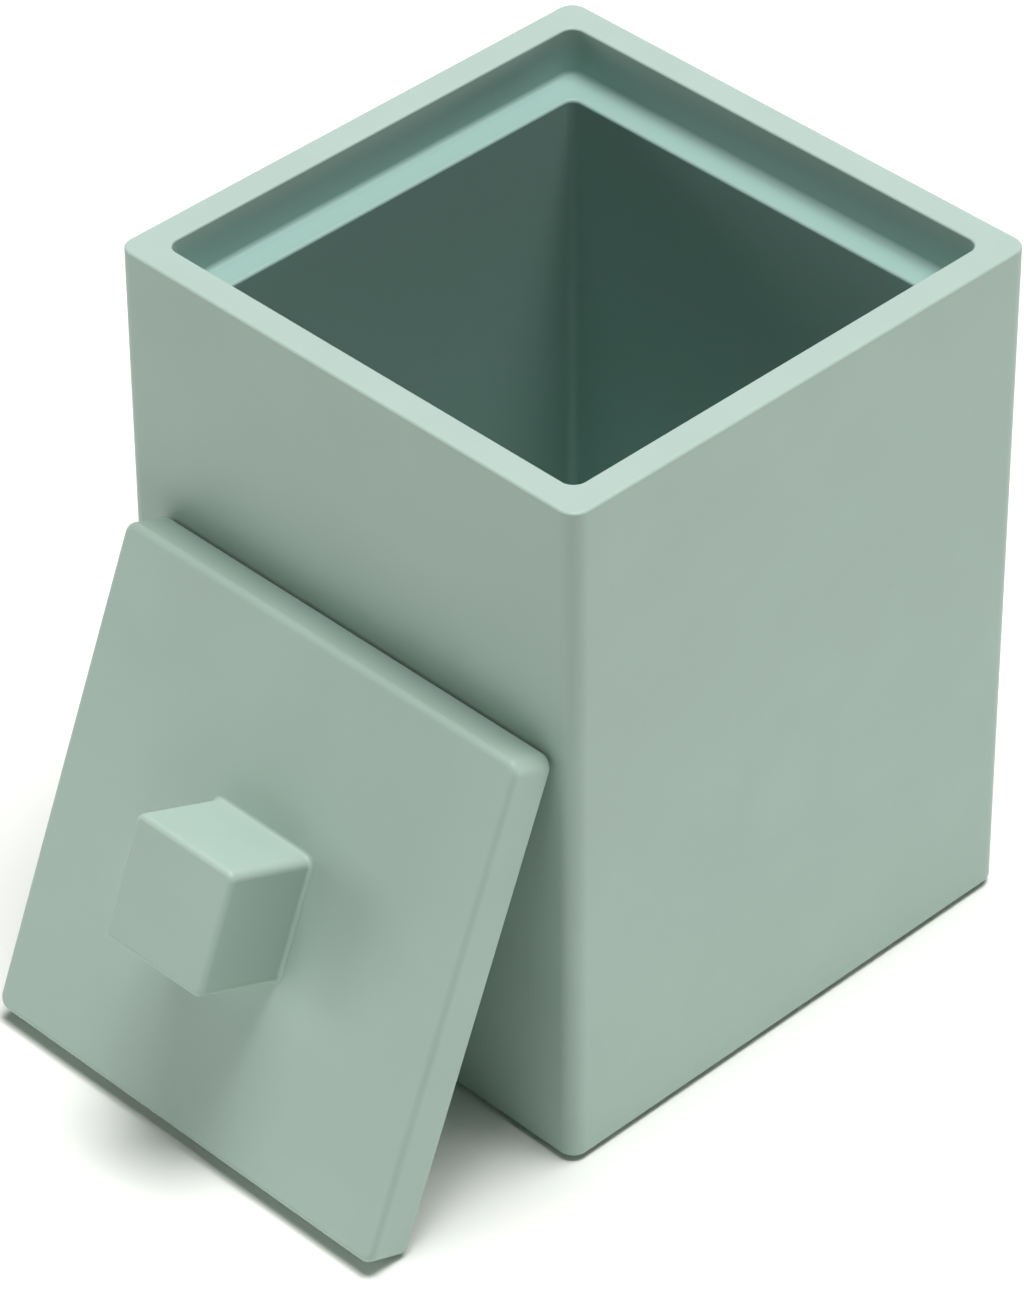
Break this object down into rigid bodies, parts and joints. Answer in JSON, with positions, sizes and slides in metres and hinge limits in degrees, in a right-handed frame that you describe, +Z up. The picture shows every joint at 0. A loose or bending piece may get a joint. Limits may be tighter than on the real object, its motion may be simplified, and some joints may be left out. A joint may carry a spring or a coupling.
{
  "type": "cotton swab jar",
  "caption": "Square cast-resin swab jar, open, with a rebated rim; its drop-in lid, with a block knob, is off and leans on the front face.",
  "frame": {"origin": "centre of the jar's square footprint, on the plane that its base pad stands on", "axes": "+Z up out of the jar's mouth; -Y the jar's front face, which the lid leans on; +X to the right seen from the front"},
  "size_m": [0.076, 0.1099, 0.0976],
  "materials": {
    "jar_resin": "satin sage lacquer over cast resin",
    "lid_resin": "satin sage lacquer over cast resin",
    "knob_resin": "satin sage lacquer over cast resin",
    "pad_foam": "matte closed-cell foam",
    "insert_brass": "turned",
    "screw_steel": "plain stainless"
  },
  "bodies": {
    "jar": {"jar_body": "jar_resin", "base_pad": "pad_foam"},
    "lid": {"lid_plate": "lid_resin", "knob": "knob_resin", "knob_insert": "insert_brass", "knob_screw": "screw_steel"}
  },
  "joints": [
    {"name": "lid_lift", "type": "slide", "parent": "jar", "child": "lid", "axis": [0, 0, 1], "range_m": [0, 0.12]}
  ]
}
